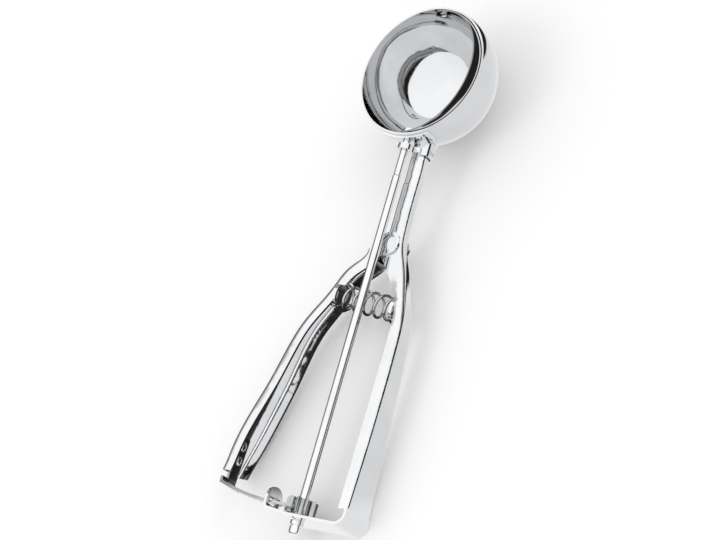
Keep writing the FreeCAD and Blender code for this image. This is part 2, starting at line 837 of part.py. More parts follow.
plate_offset = FreeCAD.Placement(vector(0, 0, plate_back.value), FreeCAD.Rotation())
plate_sketch = outline(frame_plate, "plate_outline", "XY_Plane", plate_points, None, plate_offset)
plate_sketch.setExpression("AttachmentOffset.Base.z", plate_back.text)
pad(frame_plate, "plate_pad", plate_sketch, end_front - end_back - SEAM * 2)
flare = -size("guide_tab_across") + size("flare_length")
tab_points = (
    (flare, plate_under - flare * tilt_slope), plate_left_low, (tab_out, bend_start_up), (tab_out, tab_top),
    (tab_out + sheet_thick, tab_top), (tab_out + sheet_thick, bend_start_up), plate_left_high,
    (flare, plate_along - flare * tilt_slope),
)
tab_low = size("guide_tab_low")
tab_offset = FreeCAD.Placement(vector(0, 0, tab_low.value), FreeCAD.Rotation())
tab_sketch = outline(
    frame_plate, "tab_outline", "XY_Plane", tab_points, {1: bend_centre, 5: bend_centre}, tab_offset,
)
tab_sketch.setExpression("AttachmentOffset.Base.z", tab_low.text)
pad(frame_plate, "tab_pad", tab_sketch, size("guide_tab_width"))
doc.recompute()


def edges_near(feature, *spots):
    """Names of the edges whose middle lies closest to each spot."""
    names = []
    for spot in spots:
        best = min(
            range(len(feature.Shape.Edges)),
            key=lambda k: feature.Shape.Edges[k].CenterOfMass.distanceToPoint(spot),
        )
        names.append("Edge%d" % (best + 1))
    return names


def round_edges(body, name, radius, *spots):
    base = body.Tip
    fillet = body.newObject("PartDesign::Fillet", name)
    fillet.Base = (base, edges_near(base, *spots))
    bind(fillet, "Radius", radius)
    doc.recompute()
    return fillet


plate_middle = (end_back.value + end_front.value) / 2
outer_spot = vector(outer_corner[0].value, outer_corner[1].value, plate_middle)
inner_spot = vector(inner_corner[0].value, inner_corner[1].value, plate_middle)
plate_round = size("plate_corner_radius")
round_edges(frame_plate, "plate_outer_bend", plate_round, outer_spot)
round_edges(frame_plate, "plate_inner_bend", plate_round - sheet_thick, inner_spot)
tab_middle_x = (tab_out + sheet_thick / 2).value
tab_high = tab_low + size("guide_tab_width")
round_edges(
    frame_plate, "tab_round", size("guide_tab_width") / 2 - 0.1,
    vector(tab_middle_x, tab_top.value, tab_low.value), vector(tab_middle_x, tab_top.value, tab_high.value),
)

# The rack's slot in the tab, the spindle's hole in the plate and the sloped plate corners
rack_half = size("rack_thick") / 2
rack_low = size("rack_tip_height")
rack_high = size("rack_top_height")
slot_gap = size("slot_gap")
tab_reach = pivot_across - tab_out - sheet_thick / 2
rack_reach = size("plate_from_bowl") - size("pivot_from_bowl") - size("rack_above_plate")
slot_middle = pivot_along - root(rack_reach * rack_reach - tab_reach * tab_reach)
slot_half = rack_half + slot_gap + sheet_thick * 0.08
slot = frame_plate.newObject("PartDesign::SubtractiveBox", "rack_slot")
bind(slot, "Length", sheet_thick + 4.0)
bind(slot, "Width", slot_half * 2)
bind(slot, "Height", rack_high - rack_low + slot_gap * 2)
place_at(slot, tab_out - 2.0, slot_middle - slot_half, rack_low - slot_gap, ALONG_Z)
cylinder(
    frame_plate, "Subtractive", "spindle_bearing", rod_radius + running_gap, 12.0,
    0.0, plate_along - 6.0, 0.0, ALONG_Y,
)
corner_cut = size("plate_corner_cut")
cut_left = tab_out - 1.0
plate_cut_points = (
    (cut_left, end_back - 1.0), (bend_centre[0] + corner_cut + 1.0, end_back - 1.0),
    (bend_centre[0] + corner_cut, end_back), (cut_left, end_back + corner_cut + (bend_centre[0] - cut_left)),
)


def pocket_through(body, name, sketch):
    feature = body.newObject("PartDesign::Pocket", name)
    feature.Profile = sketch
    feature.Type = "ThroughAll"
    feature.SideType = "Symmetric"
    return feature


corner_sketch = outline(frame_plate, "plate_corner_outline", "XZ_Plane", plate_cut_points)
pocket_through(frame_plate, "plate_corner", corner_sketch)
flare_points = (
    (flare + 1.0, end_front), (flare + 1.0, tab_high + 1.0),
    (flare - (tab_high - end_front) - 1.0, tab_high + 1.0), (flare, end_front),
)
flare_sketch = outline(frame_plate, "flare_outline", "XZ_Plane", flare_points)
pocket_through(frame_plate, "flare_slope", flare_sketch)

# Rivet holes in the frame handle
frame_cuts = [
    loose(
        "Cylinder", "frame_rivet_hole", pivot_across, pivot_along, -14.0, ALONG_Z,
        Radius=rivet_radius + seat_gap, Height=12.0,
    ),
]
neck_rivet_radius = size("neck_rivet_diameter") / 2
neck_rivet_along = -(saddle_outside + size("neck_rivet_down"))
neck_middle = (size("frame_saddle_front") + size("frame_saddle_back")) / 2
neck_rivet_ups = (neck_middle - size("neck_rivet_spacing") / 2, neck_middle + size("neck_rivet_spacing") / 2)
neck_across = size("frame_saddle_across")
for number, up in enumerate(neck_rivet_ups):
    frame_cuts.append(loose(
        "Cylinder", "neck_hole_%d" % number, neck_across - 3.0, neck_rivet_along, up, ALONG_X,
        Radius=neck_rivet_radius + seat_gap, Height=5.0,
    ))

# Spring cups: each stands square to the spring, its floor's edge on the handle's web
cup_radius = size("spring_outer_diameter") / 2 + size("spring_seat_gap") + size("cup_wall")
SPRING_LEAN = 0.14
cup_reach = cup_radius * 0.99
spring_up = -size("spring_depth")


def web_face(channel, down_from_pivot):
    """Inside of a handle's web at a distance down from the pivot."""
    place = down_from_pivot.value
    steep = math.hypot(1.0, channel.slope(place))
    return channel.at(place, "across") + sheet_thick * round(steep * channel.side, 6)


frame_cup_along = pivot_along - size("frame_cup_from_pivot")
frame_web_face = web_face(frame_channel, size("frame_cup_from_pivot") - cup_reach)
frame_cup_across = frame_web_face - cup_radius * SPRING_LEAN - 0.1
lever_cup_along = pivot_along - size("lever_cup_from_pivot")
lever_web_face = web_face(lever_channel, size("lever_cup_from_pivot") - cup_reach)
lever_cup_across = lever_web_face - cup_radius * SPRING_LEAN + 0.1
frame_cup_spot = vector(frame_cup_across.value, frame_cup_along.value, spring_up.value)
lever_cup_spot = vector(lever_cup_across.value, lever_cup_along.value, spring_up.value)
spring_way = frame_cup_spot - lever_cup_spot
spring_room = spring_way.Length
spring_way.normalize()


def cup(label, across, along, way):
    body = new_body(label)
    depth = size("cup_depth")
    cylinder(body, "Additive", label + "_outer", cup_radius, depth, across, along, spring_up, way)
    wall = size("cup_wall")
    floor_x = across + wall * round(way.x, 6)
    floor_y = along + wall * round(way.y, 6)
    cylinder(body, "Subtractive", label + "_inner", cup_radius - wall, depth, floor_x, floor_y, spring_up, way)
    add_part(body, label)


cup("frame_spring_cup", frame_cup_across, frame_cup_along, spring_way * -1)
cup("lever_spring_cup", lever_cup_across, lever_cup_along, spring_way)
frame_cuts.append(loose(
    "Cylinder", "frame_cup_notch", frame_cup_across + spring_way.x * 0.05,
    frame_cup_along + spring_way.y * 0.05, spring_up, spring_way * -1,
    Radius=cup_radius + seat_gap, Height=14.0,
))
frame_handle = cut("frame_handle", join("frame_whole", frame_sheet, frame_plate), join("frame_holes", *frame_cuts))
add_part(frame_handle, "frame_handle")

# Lever handle: channel with two ears that straddle the frame's ears
lever_sheet = new_body("lever_sheet")
lever_channel.loft(lever_sheet, LEVER_SPANS)
lever_pieces = [lever_sheet]
lever_top = lever_channel.places[0]
ear_spot, ear_open, ear_down = lever_channel.frame_of(lever_top)
ear_across = lever_channel.at(lever_top, "across")
ear_along = pivot_along - lever_top
ear_flange = lever_channel.at(lever_top, "flange")
ear_corner = lever_channel.at(lever_top, "corner")
ear_radius = size("ear_radius")
ear_start = ear_corner + 0.25
ear_low_across = ear_across + ear_down.x * LAP
ear_low_along = ear_along + ear_down.y * LAP
ear_points = (
    (ear_low_across + ear_start * ear_open.x, ear_low_along + ear_start * ear_open.y),
    (ear_low_across + (ear_flange - 0.3) * ear_open.x, ear_low_along + (ear_flange - 0.3) * ear_open.y),
    (ear_across + (ear_flange - SEAM) * ear_open.x, ear_along + (ear_flange - SEAM) * ear_open.y),
    (pivot_across + ear_radius * 0.5, pivot_along - ear_radius * 0.866),
    (pivot_across, pivot_along),
    (pivot_across - ear_radius * 0.55, pivot_along + ear_radius * 0.8352),
)
lever_front = lever_channel.at(lever_top, "front")
lever_back = lever_channel.at(lever_top, "back")
ear_thick = sheet_thick - SEAM * 2
for side, low in (("front", lever_front - sheet_thick + SEAM), ("back", lever_back + SEAM)):
    ear = new_body(side + "_ear")
    place = FreeCAD.Placement(vector(0, 0, low.value), FreeCAD.Rotation())
    ear_sketch = outline(ear, side + "_ear_outline", "XY_Plane", ear_points, None, place)
    ear_sketch.setExpression("AttachmentOffset.Base.z", low.text)
    pad(ear, side + "_ear_pad", ear_sketch, ear_thick)
    cylinder(
        ear, "Additive", side + "_ear_disc", ear_radius, ear_thick,
        pivot_across, pivot_along, low, ALONG_Z,
    )
    lever_pieces.append(ear)
lever_cuts = [
    loose(
        "Cylinder", "lever_rivet_hole", pivot_across, pivot_along, -14.0, ALONG_Z,
        Radius=rivet_radius + running_gap, Height=14.0,
    ),
    loose(
        "Cylinder", "lever_cup_notch", lever_cup_across - spring_way.x * 0.05,
        lever_cup_along - spring_way.y * 0.05, spring_up, spring_way,
        Radius=cup_radius + seat_gap, Height=14.0,
    ),
]

# Rack's foot on the inside of the lever's web, and the bend that joins it to the toothed arc
foot_top = sheet.get("rack_foot_top") * grip_stretch
foot_low = sheet.get("rack_foot_bottom") * grip_stretch


def foot_point(along, clear):
    origin, open_side, down = lever_channel.frame_of(along)
    return origin + open_side * (sheet_thick.value + clear)


foot_a = foot_point(foot_top, sheet.get("rack_foot_gap_top"))
foot_b = foot_point(foot_low, sheet.get("rack_foot_gap_low"))
foot_way = foot_b - foot_a
foot_way.normalize()
foot_in = vector(-foot_way.y, foot_way.x)
rivet_spots = []
for share in (0.25, 0.72):
    rivet_spots.append(foot_a + (foot_b - foot_a) * share)
rack_rivet_radius = size("rack_rivet_diameter") / 2
foot_middle_up = (size("rack_foot_low") + size("rack_foot_high")) / 2
for number, spot in enumerate(rivet_spots):
    base = spot - foot_in * 4
    lever_cuts.append(loose(
        "Cylinder", "rack_rivet_hole_%d" % number, base.x, base.y, foot_middle_up, foot_in,
        Radius=rack_rivet_radius + seat_gap, Height=8.0,
    ))
lever_handle = cut("lever_handle", join("lever_whole", *lever_pieces), join("lever_holes", *lever_cuts))
add_part(lever_handle, "lever_handle")


def rack_shape():
    """Toothed arc about the pivot, its bend and its foot, as one strip."""
    pivot = vector(pivot_across.value, pivot_along.value)
    half = rack_half.value
    bend = sheet.get("rack_bend") + half
    start = foot_a - pivot + foot_in * (half + bend)
    reach = rack_radius - bend
    along = start.dot(foot_way)
    step = -along + math.sqrt(along * along - start.dot(start) + reach * reach)
    centre = start + foot_way * step
    line_end = centre - foot_in * bend
    out = vector(centre.x, centre.y)
    out.normalize()

    def strip(points_low, points_high, low, high):
        """Strip whose two long sides are lists of arcs and lines, extruded up."""
        edges = []
        for kind, *ends in points_low:
            edges.append(Part.Arc(*ends).toShape() if kind == "arc" else Part.makeLine(*ends))
        last_low = points_low[-1][-1]
        last_high = points_high[-1][-1]
        edges.append(Part.makeLine(last_low, last_high))
        for kind, *ends in reversed(points_high):
            ends = ends[::-1]
            edges.append(Part.Arc(*ends).toShape() if kind == "arc" else Part.makeLine(*ends))
        edges.append(Part.makeLine(points_high[0][1], points_low[0][1]))
        face = Part.Face(Part.Wire(edges))
        solid = face.extrude(vector(0, 0, high - low))
        solid.translate(vector(0, 0, low))
        return solid

    def about_pivot(radius, angle):
        return vector(radius * math.cos(angle), radius * math.sin(angle))

    join_angle = math.atan2(out.y, out.x)
    end_x = sheet.get("rack_end_across") - pivot.x
    end_angle = -math.acos(end_x / rack_radius) if end_x > 0 else -math.pi / 2 + math.asin(end_x / rack_radius)
    mid_turn = out - foot_in
    mid_turn.normalize()

    def side(offset, foot_length, arc_end):
        straight_end = line_end - foot_in * offset
        straight_start = straight_end - foot_way * foot_length
        turn_middle = centre + mid_turn * (bend + offset)
        turn_end = centre + out * (bend + offset)
        arc = []
        if arc_end is not None:
            middle = about_pivot(rack_radius + offset, (join_angle + arc_end) / 2)
            arc = [("arc", turn_end, middle, about_pivot(rack_radius + offset, arc_end))]
        return [("line", straight_start, straight_end), ("arc", straight_end, turn_middle, turn_end)] + arc

    low = rack_low.value
    high = rack_high.value
    foot_low_z = size("rack_foot_low").value
    foot_high_z = size("rack_foot_high").value
    near = join_angle + 2.4 / rack_radius

    def arc_only(start_angle, stop_angle):
        """Two sides of the arc between two angles."""
        sides = []
        for offset in (half, -half):
            ends = [about_pivot(rack_radius + offset, angle) for angle in (
                start_angle, (start_angle + stop_angle) / 2, stop_angle,
            )]
            sides.append([("arc", *ends)])
        return sides

    body_arc = strip(*arc_only(join_angle + 0.8 / rack_radius, end_angle), low, high)
    shoulder = strip(side(half, 0.6, near), side(-half, 0.6, near), foot_low_z, low + 1.2)
    length = (line_end - (foot_a - pivot)).Length + 0.5
    foot = strip(side(half, length, None)[:1], side(-half, length, None)[:1], foot_low_z, foot_high_z)
    whole = body_arc.fuse([shoulder, foot])
    gap_half = tooth_pitch / 2
    cutters = []
    first = math.asin(-pivot.x / rack_radius) if pivot.x else 0.0
    count = int(sheet.get("rack_teeth"))
    for number in range(-1, count):
        angle = -math.pi / 2 + first - (number + 0.5) * tooth_pitch / rack_radius
        outward = vector(math.cos(angle), math.sin(angle))
        sideways = vector(-outward.y, outward.x)

        def corner(z):
            thick = tooth_half + (z - rack_pitch_up) * math.tan(pressure)
            return gap_half - thick

        top = rack_pitch_up + 1.15 * module
        bottom = low - 0.6
        points = []
        for z, sign in ((bottom, -1), (bottom, 1), (top, 1), (top, -1)):
            points.append(outward * (rack_radius - 5) + sideways * (sign * corner(z)) + ALONG_Z * z)
        points.append(points[0])
        cutters.append(Part.Face(Part.makePolygon(points)).extrude(outward * 10))
    whole = whole.cut(cutters)
    for spot in rivet_spots:
        base = spot - pivot - foot_in * 4 + ALONG_Z * foot_middle_up.value
        radius = (rack_rivet_radius + seat_gap).value
        whole = whole.cut(Part.makeCylinder(radius, 8, base, foot_in))
    return whole.removeSplitter()


gear_rack = doc.addObject("Part::Feature", "gear_rack")
gear_rack.Shape = rack_shape()
add_part(gear_rack, "gear_rack", AT_PIVOT)


def rivet_solid(radius, head, low, high, low_head, high_head):
    """Rivet along Z with domed heads beyond its two shoulders."""
    points = [vector(0, 0, low - low_head)]
    edges = []

    def dome(base, height, down):
        ball_radius = (head * head + height * height) / (2 * height)
        sign = -1 if down else 1
        middle_angle = math.asin(head / ball_radius) / 2
        centre_z = base + sign * (height - ball_radius)
        middle = vector(
            ball_radius * math.sin(middle_angle), 0, centre_z + sign * ball_radius * math.cos(middle_angle),
        )
        return middle

    foot = vector(0, 0, low - low_head)
    foot_rim = vector(head, 0, low)
    top_rim = vector(head, 0, high)
    top = vector(0, 0, high + high_head)
    edges.append(Part.Arc(foot, dome(low, low_head, True), foot_rim).toShape())
    edges.append(Part.makeLine(foot_rim, vector(radius, 0, low)))
    edges.append(Part.makeLine(vector(radius, 0, low), vector(radius, 0, high)))
    edges.append(Part.makeLine(vector(radius, 0, high), top_rim))
    edges.append(Part.Arc(top_rim, dome(high, high_head, False), top).toShape())
    edges.append(Part.makeLine(top, foot))
    face = Part.Face(Part.Wire(edges))
    return face.revolve(vector(0, 0), ALONG_Z, 360)


# Rack rivets: from inside the foot to the outside of the web
rack_rivets = doc.addObject("Part::Feature", "rack_rivets")
rivet_group = []
for spot in rivet_spots:
    rivet = rivet_solid(
        rack_rivet_radius.value, rack_rivet_radius.value * 1.8,
        -(sheet_thick + size("rack_rivet_seat")).value, (rack_half * 2 + seat_gap).value, 0.5, 0.7,
    )
    rivet.Placement = FreeCAD.Placement(
        spot + ALONG_Z * foot_middle_up.value, FreeCAD.Rotation(ALONG_Z, foot_in),
    )
    rivet_group.append(rivet)
rack_rivets.Shape = Part.makeCompound(rivet_group)
add_part(rack_rivets, "rack_rivets")

# Pivot rivet, spacer tube and washer, about the lever's pivot
pivot_rivet = new_body("pivot_rivet")
rivet_head = size("rivet_head_diameter") / 2
front_head = size("rivet_front_head_height")
back_head = size("rivet_back_head_height")
front_face = lever_front + seat_gap
back_face = lever_back - size("washer_thick") - seat_gap * 2


def dome_radius(height):
    return (rivet_head * rivet_head + height * height) / (height * 2)


rivet_points = (
    (0.0, back_face - back_head), (rivet_head, back_face), (rivet_radius, back_face),
    (rivet_radius, front_face), (rivet_head, front_face), (0.0, front_face + front_head),
)
rivet_bends = {
    0: (0.0, back_face - back_head + dome_radius(back_head)),
    4: (0.0, front_face + front_head - dome_radius(front_head)),
}
turn(pivot_rivet, "rivet_turned", outline(pivot_rivet, "rivet_section", "XZ_Plane", rivet_points, rivet_bends))
add_part(pivot_rivet, "pivot_rivet", AT_PIVOT)


def tube(label, inner, outer, low, high):
    body = new_body(label)
    points = ((inner, low), (outer, low), (outer, high), (inner, high))
    turn(body, label + "_turned", outline(body, label + "_section", "XZ_Plane", points))
    add_part(body, label, AT_PIVOT)


spacer_gap = size("spacer_gap")
spacer_low = size("frame_pivot_back") + sheet_thick + spacer_gap
spacer_high = size("frame_pivot_front") - sheet_thick - spacer_gap
spacer_bore = rivet_radius + seat_gap
tube("pivot_spacer", spacer_bore, spacer_bore + size("spacer_wall"), spacer_low, spacer_high)
washer_face = lever_back - seat_gap
tube(
    "pivot_washer", rivet_radius + seat_gap, size("washer_diameter") / 2,
    washer_face - size("washer_thick"), washer_face,
)

# Return spring: open coil between the floors of the two cups
return_spring = doc.addObject("Part::Feature", "return_spring")


def spring_shape():
    wire = sheet.get("spring_wire")
    middle = sheet.get("spring_outer_diameter") / 2 - wire / 2
    room = spring_room - 2 * sheet.get("cup_wall") - wire - 0.16
    turns = sheet.get("spring_turns")
    path = Part.makeHelix(room / turns, room, middle)
    start = path.Edges[0].valueAt(path.Edges[0].FirstParameter)
    way = path.Edges[0].tangentAt(path.Edges[0].FirstParameter)
    section = Part.Wire(Part.makeCircle(wire / 2, start, way))
    coil = Part.Wire(path.Edges).makePipeShell([section], True, True)
    return coil


return_spring.Shape = spring_shape()
spring_begin = lever_cup_spot + spring_way * (sheet.get("cup_wall") + sheet.get("spring_wire") / 2 + 0.08)
IN_CUPS = FreeCAD.Placement(spring_begin, FreeCAD.Rotation(ALONG_Z, spring_way))
add_part(return_spring, "return_spring", IN_CUPS)

# Saddle: plate that fits the bowl, with a collar round the neck
drop = size("saddle_drop")
wide = size("saddle_half_width")
saddle_top = rim - size("saddle_below_rim")
narrow = wide * 0.48
saddle_outline = new_body("saddle_outline")
saddle_points = (
    (-wide, saddle_top), (wide, saddle_top), (wide, -3.0), (wide - 2.0, -7.0), (narrow, -drop + 1.5),
    (narrow - 1.5, -drop), (-narrow + 1.5, -drop), (-narrow, -drop + 1.5), (-wide + 2.0, -7.0), (-wide, -3.0),
)
saddle_face = outline(saddle_outline, "saddle_points", "XZ_Plane", saddle_points)
saddle_pad = pad(saddle_outline, "saddle_pad", saddle_face, bowl_radius * 2)
saddle_shell = cut(
    "saddle_shell",
    loose("Sphere", "saddle_outer_ball", Radius=saddle_outside),
    loose("Sphere", "saddle_inner_ball", Radius=bowl_radius + seat_gap),
)
saddle_patch = common("saddle_patch", saddle_shell, saddle_outline)
saddle_collar = new_body("saddle_collar")
collar_thick = size("saddle_thick")
collar_gap = size("collar_gap")
collar_end = -(saddle_outside + size("saddle_collar_length"))
collar_across = neck_across + collar_thick + size("collar_web_gap")
collar_place = placed(vector(collar_across.value, collar_end.value), vector(-1, 0), ALONG_Z)
collar_sketch = new_sketch(saddle_collar, "collar_section", "XY_Plane", collar_place)
collar_sketch.setExpression("AttachmentOffset.Base.x", collar_across.text)
collar_sketch.setExpression("AttachmentOffset.Base.y", collar_end.text)
draw_section(
    collar_sketch, size("frame_saddle_front") + collar_thick + collar_gap,
    size("frame_saddle_back") - collar_thick - collar_gap,
    size("frame_saddle_flange") + collar_thick, size("frame_saddle_corner") + collar_thick + collar_gap,
    collar_thick,
)
pad(saddle_collar, "collar_pad", collar_sketch, bowl_radius / 2)
collar_seated = cut(
    "collar_seated", saddle_collar, loose("Sphere", "collar_seat_ball", Radius=bowl_radius + seat_gap),
)
saddle_holes = join(
    "saddle_holes",
    loose(
        "Cylinder", "saddle_rod_hole", 0.0, -bowl_radius * 2, 0.0, ALONG_Y,
        Radius=rod_top_radius + running_gap * 2, Height=bowl_radius * 2,
    ),
    *[
        loose(
            "Cylinder", "collar_rivet_hole_%d" % number, neck_across - 3.0, neck_rivet_along, up, ALONG_X,
            Radius=neck_rivet_radius + seat_gap, Height=8.0,
        )
        for number, up in enumerate(neck_rivet_ups)
    ],
)
bowl_saddle = cut("bowl_saddle", join("saddle_whole", saddle_patch, collar_seated), saddle_holes)
add_part(bowl_saddle, "bowl_saddle")

# Neck rivets: through the collar and the neck's web
neck_rivets = doc.addObject("Part::Feature", "neck_rivets")
neck_group = []
web_inside = (neck_across - sheet_thick - size("neck_rivet_seat")).value
collar_outside = (collar_across + seat_gap).value
for up in neck_rivet_ups:
    rivet = rivet_solid(neck_rivet_radius.value, neck_rivet_radius.value * 1.5, web_inside, collar_outside, 0.3, 0.5)
    rivet.Placement = FreeCAD.Placement(
        vector(0, neck_rivet_along.value, up.value), FreeCAD.Rotation(ALONG_Z, ALONG_X),
    )
    neck_group.append(rivet)
neck_rivets.Shape = Part.makeCompound(neck_group)
add_part(neck_rivets, "neck_rivets")

# Guide eye: ring that carries the rod's thin end, seated on the collar's front
guide_eye = new_body("guide_eye")
eye_low = collar_end
eye_bore = rod_top_radius + running_gap
eye_radius = eye_bore + size("guide_eye_wall")
eye_length = size("guide_eye_length")
eye_base = size("frame_saddle_front") + collar_thick + collar_gap + seat_gap
eye_foot = guide_eye.newObject("PartDesign::AdditiveBox", "eye_foot")
bind(eye_foot, "Length", neck_across - 1.0)
bind(eye_foot, "Width", eye_length)
bind(eye_foot, "Height", size("guide_eye_foot"))
place_at(eye_foot, 0.0, eye_low, eye_base, ALONG_Z)
cylinder(guide_eye, "Additive", "eye_ring", eye_radius, eye_length, 0.0, eye_low, 0.0, ALONG_Y)
cylinder(guide_eye, "Subtractive", "eye_bore", eye_bore, eye_length * 3, 0.0, eye_low - eye_length, 0.0, ALONG_Y)
add_part(guide_eye, "guide_eye")

# The tool lies on a table on the bowl and the handle's end
rest_low = -end_back.value
heel = -outer_corner[1].value
lay_angle = math.degrees(math.asin(bowl_radius.value / math.hypot(heel, rest_low)) - math.atan2(rest_low, heel))
LAID = FreeCAD.Placement(vector(0, 0, bowl_radius.value), FreeCAD.Rotation(ALONG_X, lay_angle))
for solid, label, local in sub_parts:
    solid.Placement = LAID.multiply(local)
doc.recompute()

faults = []
for thing in doc.Objects:
    if "Invalid" in thing.State or "Error" in thing.State:
        faults.append("%s: %s" % (thing.Name, thing.State))
for solid, label, local in sub_parts:
    if solid.Shape.isNull() or not solid.Shape.isValid() or not solid.Shape.Solids:
        faults.append("%s has no valid shape" % label)
if faults:
    raise RuntimeError("; ".join(faults))
os.makedirs("parts", exist_ok=True)
for solid, label, local in sub_parts:
    solid.Shape.exportStep("parts/%s.step" % label)
print("laid at %.3f degrees, %d pieces" % (lay_angle, len(sub_parts)))
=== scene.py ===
import json
import math

import bmesh
import bpy
from mathutils import Matrix, Vector


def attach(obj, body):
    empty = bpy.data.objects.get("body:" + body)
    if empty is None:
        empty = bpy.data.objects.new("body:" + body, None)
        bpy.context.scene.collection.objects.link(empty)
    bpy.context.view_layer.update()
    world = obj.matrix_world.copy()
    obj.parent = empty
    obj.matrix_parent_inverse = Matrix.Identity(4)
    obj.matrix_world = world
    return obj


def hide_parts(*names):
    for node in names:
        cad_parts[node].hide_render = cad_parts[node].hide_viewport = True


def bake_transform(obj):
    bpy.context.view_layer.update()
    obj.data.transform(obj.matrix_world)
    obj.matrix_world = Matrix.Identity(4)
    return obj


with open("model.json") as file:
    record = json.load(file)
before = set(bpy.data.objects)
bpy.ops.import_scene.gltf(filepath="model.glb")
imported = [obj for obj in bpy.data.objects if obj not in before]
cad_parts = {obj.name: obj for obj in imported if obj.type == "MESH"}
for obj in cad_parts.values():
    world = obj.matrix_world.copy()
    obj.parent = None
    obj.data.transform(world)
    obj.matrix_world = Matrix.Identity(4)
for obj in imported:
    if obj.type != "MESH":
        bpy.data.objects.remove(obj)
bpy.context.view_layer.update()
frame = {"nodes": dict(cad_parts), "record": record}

MM = 0.001
SMOOTH_ANGLE = math.radians(28)
MERGE_DISTANCE = 0.000002
SLIVER_DISTANCE = 0.000001

# The return spring, between the backs of its two cups
COIL_BEGIN = Vector((-0.016917, -0.096684, 0.011969))
COIL_END = Vector((0.014859, -0.102057, 0.011431))
CUP_WALL = 0.9 * MM
WIRE_RADIUS = 0.6 * MM
COIL_GAP = 0.08 * MM
COIL_RADIUS = 4.8 * MM
COIL_TURNS = 5.25
COIL_STEPS = 56
WIRE_SIDES = 18
HEAD_SIDES = 36
HEAD_RINGS = 8
SHANK_SIDES = 28

# Painted reflection of the floor, seen only by polished steel: a pale oval sheet, painted dark beyond its edge
PAINTED_SHEET_CENTRE = (0.0, -0.085)
PAINTED_SHEET_HALF = (0.067, 0.26)
PAINTED_SHEET_TONES = ((0.0, 1.05), (0.30, 0.98), (0.42, 0.85), (0.47, 0.08), (0.70, 0.03), (1.0, 0.02))
# Painted shade under and between the handles, as metal sees it: tones across the handles, and the span down the
# tool where these tones count
PAINTED_SHADE_UNDER_HANDLES = ((0.0, 0.30), (0.30, 0.16), (0.36, 0.03), (0.50, 0.03), (0.555, 0.08), (0.585, 0.85), (1.0, 1.0))
PAINTED_SHADE_REACH = 0.1
PAINTED_SHADE_BACK_EDGE = (-0.078, -0.092)
PAINTED_SHADE_FRONT_EDGE = (-0.186, -0.178)
# Round the bowl the painted reflection has a rounder edge: a painted light pool, painted dark beyond it
PAINTED_POOL_CENTRE_Y = -0.006
PAINTED_POOL_HALF = (0.081, 0.060)
PAINTED_POOL_IGNORES_HEIGHT = 1000.0
PAINTED_POOL_EDGE = (0.94, 1.08)
PAINTED_POOL_LIGHT, PAINTED_POOL_DARK = 0.92, 0.02
PAINTED_POOL_FROM_Y = (-0.080, -0.076)

# Painted reflections that only metal sees: a soft bright opening overhead, streaky grey tones away from it, and
# a painted dark foot
PAINTED_HIGHLIGHT_WAY = Vector((0.27, -0.184, 0.943)).normalized()
PAINTED_TENT_TONES = (
    (0.0, 0.22), (0.34, 0.30), (0.44, 0.10), (0.50, 0.55), (0.555, 0.16), (0.60, 0.42), (0.655, 0.34),
    (0.665, 0.03), (0.675, 0.45), (0.69, 0.55), (0.70, 1.0), (1.0, 1.0),
)
PAINTED_DARK_FOOT_TONES = ((0.0, 0.05), (0.50, 0.05), (0.52, 0.04), (0.56, 0.10), (0.60, 0.9), (1.0, 1.0))
RIPPLE_SCALE = 2.6
RIPPLE_DETAIL = 3.0
RIPPLE_REACH = 0.11
PAINTED_TENT_STRENGTH = 1.3
PLAIN_STRENGTH = 1.0

PICTURE_WIDTH = 716.0
FOCAL_PIXELS = 2500.0
SENSOR_WIDTH = 36.0


# Node helpers
def feed(tree, value, socket):
    """Set a socket to a plain value, or link it to another node's output."""
    if isinstance(value, bpy.types.NodeSocket):
        tree.links.new(value, socket)
    else:
        socket.default_value = value


def sum_up(tree, operation, first, second):
    """Arithmetic on two numbers or links."""
    node = tree.nodes.new("ShaderNodeMath")
    node.operation = operation
    feed(tree, first, node.inputs[0])
    feed(tree, second, node.inputs[1])
    return node.outputs["Value"]


def vector_sum(tree, operation, first, second=None, result="Vector"):
    """Arithmetic on one or two vectors or links."""
    node = tree.nodes.new("ShaderNodeVectorMath")
    node.operation = operation
    feed(tree, first, node.inputs[0])
    if second is not None:
        feed(tree, second, node.inputs[1])
    return node.outputs[result]


def split(tree, vector):
    """The X, Y and Z of a vector."""
    node = tree.nodes.new("ShaderNodeSeparateXYZ")
    tree.links.new(vector, node.inputs["Vector"])
    return node.outputs["X"], node.outputs["Y"], node.outputs["Z"]


def combine(tree, **parts):
    """A vector from numbers or links named X, Y and Z."""
    node = tree.nodes.new("ShaderNodeCombineXYZ")
    for axis, value in parts.items():
        feed(tree, value, node.inputs[axis])
    return node.outputs["Vector"]


def spread(tree, value, low, high, low_to, high_to):
    """Map a value from one span to another."""
    node = tree.nodes.new("ShaderNodeMapRange")
    node.inputs["From Min"].default_value = low
    node.inputs["From Max"].default_value = high
    node.inputs["To Min"].default_value = low_to
    node.inputs["To Max"].default_value = high_to
    tree.links.new(value, node.inputs["Value"])
    return node.outputs["Result"]


def mix_colours(tree, share, first, second, blend="MIX"):
    """Two colours or links mixed by a share."""
    node = tree.nodes.new("ShaderNodeMix")
    node.data_type = "RGBA"
    node.blend_type = blend
    feed(tree, share, node.inputs["Factor"])
    feed(tree, first, node.inputs["A"])
    feed(tree, second, node.inputs["B"])
    return node.outputs["Result"]


def grey_tones(tree, value, stops):
    """Grey levels along a value from 0 to 1, through stops of (spot, level)."""
    node = tree.nodes.new("ShaderNodeValToRGB")
    elements = node.color_ramp.elements
    while len(elements) < len(stops):
        elements.new(0.5)
    for element, (spot, level) in zip(elements, stops):
        element.position = spot
        element.color = (level, level, level, 1.0)
    tree.links.new(value, node.inputs["Fac"])
    return node.outputs["Color"]


def choose(tree, share, first, second, into):
    """Second shader where share is 1, first elsewhere."""
    node = tree.nodes.new("ShaderNodeMixShader")
    tree.links.new(share, node.inputs["Fac"])
    tree.links.new(first, node.inputs[1])
    tree.links.new(second, node.inputs[2])
    tree.links.new(node.outputs["Shader"], into)


